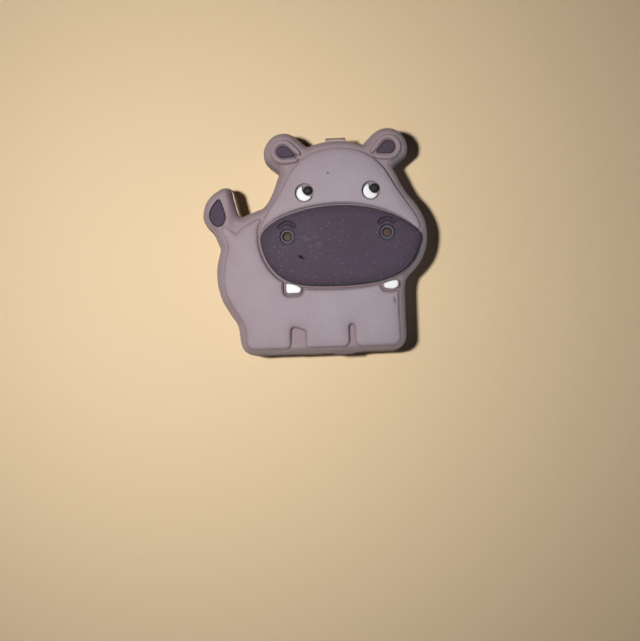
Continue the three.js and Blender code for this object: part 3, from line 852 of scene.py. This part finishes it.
def make_muzzle():
    insets = (0.006, 0.03, 0.07, 0.14, 0.22, 0.32, MUZZLE_ROUND)
    muzzle = plate("muzzle_pad", MUZZLE, SEAT_Z, insets, muzzle_front, muzzle_webs())
    xy = drawing_places(muzzle)[:, :2]
    edge = inside_by(xy, MUZZLE)
    shade = 0.22 * (1 - ramp(edge / 1.3))  # a wide soft shade inside the dark edge
    # Painted shade: the dark line round the edge, the wide shade inside it, the dent, the nostrils' grooves
    # and pits and the arcs over them.
    lines = [crease_at(edge, MUZZLE_LINE), shade, flaw_depth(xy, MUZZLE_FLAWS) * 6]
    ring_highlights = []
    for side, nostril in NOSTRILS.items():
        radius = away_from(xy, *nostril)
        lines += [crease_at(radius - middle, NOSTRIL_LINE) for middle in (0.85, 0.51)]
        lines.append(crease_at(CREASES[side].depth(xy) - 0.02, CREASE_LINE))
        # A painted reflection: each nostril's ring is painted paler and bluer.
        ring_highlights.append(line_at(radius - 0.67, 0.09))
    set_mask(muzzle, "painted_shade", np.max(lines, axis=0))
    set_mask(muzzle, "ring", np.max(ring_highlights, axis=0))
    return muzzle


def make_pad(name, node, outline, bottom, drop, width, look, spacing=0.15):
    """A small piece in place of a node, with a flat top and a round edge, masked for a dark line of painted
    shade along its edge.
    """
    def front(xy):
        return top_of(node) - drop * (1 - curl(inside_by(xy, outline) / width))

    insets = [width * share for share in (0.02, 0.08, 0.2, 0.4, 0.65, 0.95)]
    piece = plate(name, outline, bottom, insets, front, spacing=spacing)
    set_mask(piece, "painted_shade", crease_at(inside_by(drawing_places(piece)[:, :2], outline), PAD_LINE))
    finish_piece(piece, look, node)


def crescent(x, y):
    """The white of an eye: a disc with a round bite out of it. Each tip is a small arc touching both
    circles, so its middle is the tip's radius inside the disc and the same outside the bite."""
    disc = np.array([x + EYE_WHITE[0], y + EYE_WHITE[1]])
    bite = np.array([x + EYE_BITE[0], y + EYE_BITE[1]])
    outer, inner = EYE_WHITE[2], EYE_BITE[2]
    apart = np.linalg.norm(bite - disc)
    to_bite = (bite - disc) / apart
    across = np.array([-to_bite[1], to_bite[0]])
    along = (apart ** 2 + (outer - EYE_TIP) ** 2 - (inner + EYE_TIP) ** 2) / (2 * apart)
    aside = math.sqrt((outer - EYE_TIP) ** 2 - along ** 2)
    upper = disc + to_bite * along + across * aside
    lower = disc + to_bite * along - across * aside
    first, last, back, on = (angle_of(step) % 360 for step in
                             (upper - disc, lower - disc, lower - bite, upper - bite))
    return evenly(np.vstack([
        arc(*disc, outer, first, last, 0.03), arc(*lower, EYE_TIP, last, back + 180, 0.03)[1:-1],
        arc(*bite, inner, back, on, 0.03), arc(*upper, EYE_TIP, on + 180, first + 360, 0.03)[1:-1],
    ]), 0.04)


def make_pupil(name, x, y, radius):
    """A black bead turned about an upright axis: a low brim round a domed middle."""
    profile = np.array([(0.0, 0.0), (1.0, 0.0), (1.0, 0.2), (0.97, 0.24), (0.9, 0.26), (0.82, 0.28),
                        (0.78, 0.31), (0.76, 0.36), (0.7, 0.4), (0.56, 0.43), (0.38, 0.445), (0.2, 0.45),
                        (0.0, 0.45)])
    turn = np.radians(np.arange(0, 360, 6))
    ring = profile[1:-1] * [radius, 1]
    points = np.stack([x + ring[:, :1] * np.cos(turn), y + ring[:, :1] * np.sin(turn),
                       EYE_FLOOR_Z + ring[:, 1:] + 0 * turn], -1)
    ends = np.array([[x, y, EYE_FLOOR_Z], [x, y, EYE_FLOOR_Z + profile[-1, 1]]])
    rows, columns = points.shape[:2]
    index = np.arange(rows * columns).reshape(rows, columns)
    caps = [np.c_[index[row], np.roll(index[row], -1), np.full(columns, rows * columns + end)]
            for row, end in ((0, 0), (rows - 1, 1))]
    return mesh_piece(name, np.r_[points.reshape(-1, 3), ends], np.vstack([split(cells_of(index)), *caps]))


def below_muzzle(outline):
    """The outline with what would lie under the muzzle pushed down clear of it."""
    found = outline.copy()
    for _ in range(3):
        found[:, 1] -= np.clip(inside_by(found, MUZZLE) + 0.1, 0, None)
    return softened(found, 0.06, 0.05)


# ---------- materials ----------


def srgb(*levels):
    """A colour given as it looks on a screen, 0 to 255, as the linear numbers that shaders take."""
    share = np.array(levels) / 255
    return (*np.where(share < 0.04045, share / 12.92, ((share + 0.055) / 1.055) ** 2.4), 1.0)


def feed(tree, socket, value):
    """Joins the socket to another one, or sets it to a value."""
    if isinstance(value, bpy.types.NodeSocket):
        tree.links.new(value, socket)
    else:
        socket.default_value = value


def add(tree, kind, settings=None, **inputs):
    """A node with its settings, and its inputs joined to a socket or set to a value."""
    node = tree.nodes.new(kind)
    for name, value in (settings or {}).items():
        setattr(node, name, value)
    for name, value in inputs.items():
        feed(tree, node.inputs[name.replace("_", " ")], value)
    return node


def fed(tree, kind, settings, *values):
    """The outputs of a node whose first inputs are joined or set, in their order."""
    node = add(tree, kind, settings)
    for socket, value in zip(node.inputs, values):
        feed(tree, socket, value)
    return node.outputs


def maths(tree, operation, *values, clamp=False):
    return fed(tree, "ShaderNodeMath", {"operation": operation, "use_clamp": clamp}, *values)[0]


def times(tree, first, second, clamp=False):
    return maths(tree, "MULTIPLY", first, second, clamp=clamp)


def mixed(tree, factor, first, second):
    """Two colours mixed by a factor."""
    node = add(tree, "ShaderNodeMix", {"data_type": "RGBA"})
    for place, value in ((0, factor), (6, first), (7, second)):
        feed(tree, node.inputs[place], value)
    return node.outputs[2]


def new_group(name, outputs, **inputs):
    """A shader node group with named sockets, and its input and output nodes. An input is a float, a vector
    or a colour by the length of its default."""
    tree = bpy.data.node_groups.new(name, "ShaderNodeTree")
    for socket, value in inputs.items():
        kind = {1: "Float", 3: "Vector", 4: "Color"}[np.size(value)]
        made = tree.interface.new_socket(name=socket.replace("_", " "), in_out="INPUT",
                                         socket_type="NodeSocket" + kind)
        made.default_value = value
    for socket in outputs:
        kind = "Color" if socket == "Color" else "Float"
        tree.interface.new_socket(name=socket, in_out="OUTPUT", socket_type="NodeSocket" + kind)
    return tree, tree.nodes.new("NodeGroupInput").outputs, tree.nodes.new("NodeGroupOutput").inputs


def placed(tree, group, **inputs):
    return add(tree, "ShaderNodeGroup", {"node_tree": group}, **inputs).outputs


def object_places(tree):
    return add(tree, "ShaderNodeTexCoord").outputs["Object"]


def make_silicone_group():
    """Moulded silicone: soft mottling 2 to 3 mm across, a fine grain, an uneven gloss, and painted shade: a
    darker colour where the shade mask is set, in creases, recesses and along edges."""
    tree, given, found = new_group(
        "moulded silicone", ("Color", "Roughness", "Height"), Color=(0.5, 0.5, 0.5, 1),
        Crease_Color=(0.1, 0.1, 0.1, 1), Crease=0.0, Mottle=0.1, Gloss=0.4)
    places = object_places(tree)
    broad, grain, fine = (
        add(tree, "ShaderNodeTexNoise", Vector=places, Scale=scale, Detail=detail).outputs[0]
        for scale, detail in ((420, 3), (5200, 3), (15000, 2)))
    shade = times(tree, maths(tree, "SUBTRACT", broad, 0.5), given["Mottle"])
    speckle = times(tree, maths(tree, "SUBTRACT", grain, 0.5), times(tree, given["Mottle"], 1.3))
    level = maths(tree, "ADD", maths(tree, "ADD", shade, speckle), 1.0)
    scaled = add(tree, "ShaderNodeVectorMath", {"operation": "SCALE"}, Vector=given["Color"], Scale=level)
    feed(tree, found["Color"], mixed(tree, given["Crease"], scaled.outputs[0], given["Crease Color"]))
    dull = maths(tree, "ADD", times(tree, grain, 0.25), maths(tree, "SUBTRACT", 0.9, given["Gloss"]))
    feed(tree, found["Roughness"], maths(tree, "ADD", dull, times(tree, given["Crease"], 0.2), clamp=True))
    feed(tree, found["Height"], maths(tree, "ADD", times(tree, grain, 0.7), times(tree, fine, 0.3)))
    return tree


def scattered(tree, places, given, size):
    """Scattered cells, of which some hold a mark: 1 in those, and how near a cell's middle is, 1 to 0."""
    cells = add(tree, "ShaderNodeTexVoronoi", Vector=places, Scale=given["Scale"])
    chosen = add(tree, "ShaderNodeSeparateColor", Color=cells.outputs["Color"]).outputs[0]
    away = maths(tree, "DIVIDE", cells.outputs["Distance"], size)
    return maths(tree, "LESS_THAN", chosen, given["Share"]), maths(tree, "SUBTRACT", 1.0, away, clamp=True)


def make_dust_group():
    """Specks of dust: small round marks."""
    tree, given, found = new_group("dust specks", ("Mask",), Scale=2000.0, Size=0.15, Share=0.2)
    shown, near = scattered(tree, object_places(tree), given, given["Size"])
    feed(tree, found["Mask"], times(tree, shown, times(tree, near, 2.0, clamp=True)))
    return tree


def make_scratch_group():
    """Fine straight scratches: marks in a pattern stretched along one direction, round a middle."""
    tree, given, found = new_group("fine scratches", ("Mask",), Scale=900.0, Turn=0.5, Share=0.2, Length=18.0,
                                   Middle=(0.0, 0.0, 0.0), Reach=0.001)
    places = object_places(tree)
    turned = add(tree, "ShaderNodeVectorRotate", {"rotation_type": "Z_AXIS"}, Vector=places,
                 Angle=given["Turn"]).outputs[0]
    stretch = add(tree, "ShaderNodeCombineXYZ", X=1.0, Y=given["Length"], Z=1.0).outputs[0]
    stretched = fed(tree, "ShaderNodeVectorMath", {"operation": "MULTIPLY"}, turned, stretch)[0]
    shown, near = scattered(tree, stretched, given, 0.5)
    away = fed(tree, "ShaderNodeVectorMath", {"operation": "DISTANCE"}, places, given["Middle"])["Value"]
    left = maths(tree, "SUBTRACT", 1.0, maths(tree, "DIVIDE", away, given["Reach"]), clamp=True)
    feed(tree, found["Mask"], times(tree, times(tree, shown, near), times(tree, left, 2.0, clamp=True)))
    return tree


SILICONE = make_silicone_group()
DUST = make_dust_group()
SCRATCHES = make_scratch_group()


def mask_of(tree, name):
    return add(tree, "ShaderNodeAttribute", {"attribute_name": name}).outputs["Fac"]


def new_material(name, see_into, grain_height):
    """A material with its Principled shader and a bump node, which the caller feeds."""
    material = bpy.data.materials.new(name)
    material.use_nodes = True
    tree = material.node_tree
    tree.nodes.clear()
    shader = add(tree, "ShaderNodeBsdfPrincipled", IOR=1.41, Subsurface_Weight=see_into,
                 Subsurface_Scale=0.0006, Subsurface_Radius=(1.0, 0.8, 0.7), Sheen_Weight=0.08,
                 Sheen_Roughness=0.6)
    add(tree, "ShaderNodeOutputMaterial", {"is_active_output": True}, Surface=shader.outputs[0])
    bump = add(tree, "ShaderNodeBump", Strength=1.0, Distance=grain_height * MM)
    feed(tree, shader.inputs["Normal"], bump.outputs[0])
    return material, tree, shader.inputs, bump.inputs


def silicone(name, see_into, grain_height, colour, painted_shade, mottle, gloss, layers=(), marks=()):
    """A material of moulded silicone, with its second colour painted as shade where the piece's shade mask is
    set. Each layer is a mask of the piece and the colour that it brings; each set of marks is a group, its
    inputs, and the strength and colour of the marks."""
    material, tree, shader, bump = new_material(name, see_into, grain_height)
    for mask, tint in layers:
        colour = mixed(tree, mask_of(tree, mask), colour, tint)
    look = placed(tree, SILICONE, Color=colour, Crease_Color=painted_shade, Crease=mask_of(tree, "painted_shade"),
                  Mottle=mottle, Gloss=gloss)
    colour = look["Color"]
    for group, inputs, strength, tint in marks:
        colour = mixed(tree, times(tree, placed(tree, group, **inputs)[0], strength), colour, tint)
    feed(tree, shader["Base Color"], colour)
    feed(tree, shader["Roughness"], look["Roughness"])
    feed(tree, bump["Height"], look["Height"])
    return material


def body_material():
    # The second colour is painted shade; the panel colour is a painted sheen on the panels' middles; the pale
    # colour is a painted highlight on the tail's lip and the parting line, and the paler upper boss.
    return silicone(
        "grey silicone", 0.35, 0.012, srgb(144, 128, 135), srgb(92, 67, 70), 0.18, 0.35,
        [("panel", srgb(160, 149, 159)), ("pale", srgb(222, 204, 184))],
        [(DUST, {"Scale": 3000.0, "Size": 0.2, "Share": 0.25}, 0.28, srgb(226, 216, 214))])


def plum_material():
    """Plum with blue and pale dust, a painted reflection on each nostril's ring, and a scratched patch on the
    muzzle.
    """
    x, y, reach = SCRATCHED
    scratches = {"Scale": 900.0, "Turn": -0.45, "Share": 0.3, "Length": 16.0, "Reach": reach * MM,
                 "Middle": ((DRAWING_X + x) * MM, (DRAWING_Y + y) * MM, MUZZLE_Z * MM)}
    return silicone(
        "plum silicone", 0.08, 0.012, srgb(71, 59, 75), srgb(24, 18, 24), 0.2, 0.2,
        [("ring", srgb(98, 101, 115))],
        # The blue specks are dust, made dense enough to stand also for a painted bluish sheen.
        [(DUST, {"Scale": 4200.0, "Size": 0.22, "Share": 0.4}, 0.5, srgb(140, 136, 162)),
         (DUST, {"Scale": 3400.0, "Size": 0.17, "Share": 0.26}, 0.55, srgb(190, 176, 176)),
         (SCRATCHES, scratches, 0.3, srgb(170, 160, 166))])


def white_material():
    return silicone("white silicone", 0.15, 0.008, srgb(236, 239, 242), srgb(120, 108, 100), 0.06, 0.5)


def black_material():
    return silicone("black silicone", 0.0, 0.008, srgb(13, 12, 13), srgb(6, 6, 6), 0.2, 0.4)


# The nostril's floor: the grey silicone deep in its pit, painted dark brown for the pit's shade.
def brown_material():
    return silicone("nostril shade", 0.1, 0.008, srgb(80, 64, 53), srgb(40, 31, 26), 0.5, 0.3)


def floor_material():
    material, _, shader, _ = new_material("pale floor", 0.0, 0.01)
    shader["Base Color"].default_value = srgb(229, 206, 168)
    shader["Roughness"].default_value = 0.7
    return material


# ---------- the bead ----------

# Each look is a material and the slot that it stands for.
GREY = (body_material(), "body_grey")
PLUM = (plum_material(), "plum")
WHITE = (white_material(), "white")
BLACK = (black_material(), "black")
BROWN = (brown_material(), "nostril_brown")


def finish_piece(piece, look, *nodes):
    """Gives a piece its material and ties it to the frame."""
    material, slot = look
    piece.data.materials.append(material)
    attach(piece, "root")
    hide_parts(*nodes)


def make_bead():
    finish_piece(make_skin(), GREY, "head", "ear_left", "ear_right", "trunk", "tail", "leg_rear",
                 "leg_middle", "leg_front")
    finish_piece(make_muzzle(), PLUM, "muzzle")
    make_pad("tail_pad", "tail_inlay", TAIL_INLAY, SEAT_Z, 0.1, 0.3, PLUM)
    for side in ("left", "right"):
        make_pad("ear_pad_" + side, "ear_inlay_" + side, EAR_PADS[side], SEAT_Z, 0.05, 0.08, PLUM)
        make_pad("tooth_cap_" + side, "tooth_" + side, below_muzzle(TEETH[side]), SEAT_Z, 0.14, 0.22, WHITE)
        # Each nostril's floor is painted shade, dark brown.
        floor = circle(*NOSTRILS[side], NOSTRIL_PIT - 0.02, 0.05)
        make_pad("nostril_floor_" + side, "nostril_" + side, floor, NOSTRIL_PIT_Z, 0.1, 0.3, BROWN)
        white = crescent(*EYES[side])
        make_pad("eye_white_" + side, "eye_" + side, white, EYE_FLOOR_Z, 0.12, 0.2, WHITE, 0.1)
        x, y = EYES[side]
        dx, dy, radius = PUPILS[side]
        finish_piece(make_pupil("pupil_dot_" + side, x + dx, y + dy, radius), BLACK, "pupil_" + side)


# ---------- floor, lights and camera ----------


def make_floor():
    mesh = bpy.data.meshes.new("floor")
    mesh.from_pydata([(-1, -1, 0), (1, -1, 0), (1, 1, 0), (-1, 1, 0)], [], [(0, 1, 2, 3)])
    mesh.materials.append(floor_material())
    in_scene("floor", mesh)


# Each light: name, place and the point it faces, width, watts, colour, and spread in degrees.
LIGHTS = [("key light", (-0.0265, -0.002, 0.093), (0, 0, 0.006), 0.008, 0.094, (1.0, 0.965, 0.94), 180),
          ("low fill", (0.33, -0.1, 0.014), (0, 0, 0.006), 0.026, 0.009, (0.62, 0.82, 1.0), 30)]
SKY = ((0.9, 0.94, 1.0, 1.0), 0.003)  # colour and strength
CAMERA_HEIGHT = 0.09
CAMERA_ROLL = -2.5  # degrees
CAMERA = (DRAWING_X * MM, (DRAWING_Y - 9.0) * MM, CAMERA_HEIGHT)
VIEW_WIDTH = 0.07888  # what the picture spans on the floor


def make_lights():
    for name, place, target, size, watts, colour, spread in LIGHTS:
        lamp = bpy.data.lights.new(name, "AREA")
        lamp.shape = "DISK"
        lamp.size = size
        lamp.energy = watts
        lamp.spread = math.radians(spread)
        lamp.color = colour
        light = in_scene(name, lamp)
        light.location = place
        light.rotation_euler = (Vector(target) - Vector(place)).to_track_quat("-Z", "Y").to_euler()
    world = bpy.data.worlds.new("studio")
    world.use_nodes = True
    sky = world.node_tree.nodes["Background"].inputs
    sky["Color"].default_value, sky["Strength"].default_value = SKY
    bpy.context.scene.world = world


def make_camera():
    """Straight above the floor, turned so that the bead leans a little to the left."""
    data = bpy.data.cameras.new("camera")
    data.sensor_fit = "HORIZONTAL"
    data.lens = data.sensor_width * CAMERA_HEIGHT / VIEW_WIDTH
    data.clip_start = 0.001
    camera = in_scene("camera", data)
    camera.location = CAMERA
    camera.rotation_euler = (0, 0, math.radians(CAMERA_ROLL))
    bpy.context.scene.camera = camera


make_camera()
make_bead()
make_floor()
make_lights()
bpy.context.scene.view_settings.view_transform = "Standard"
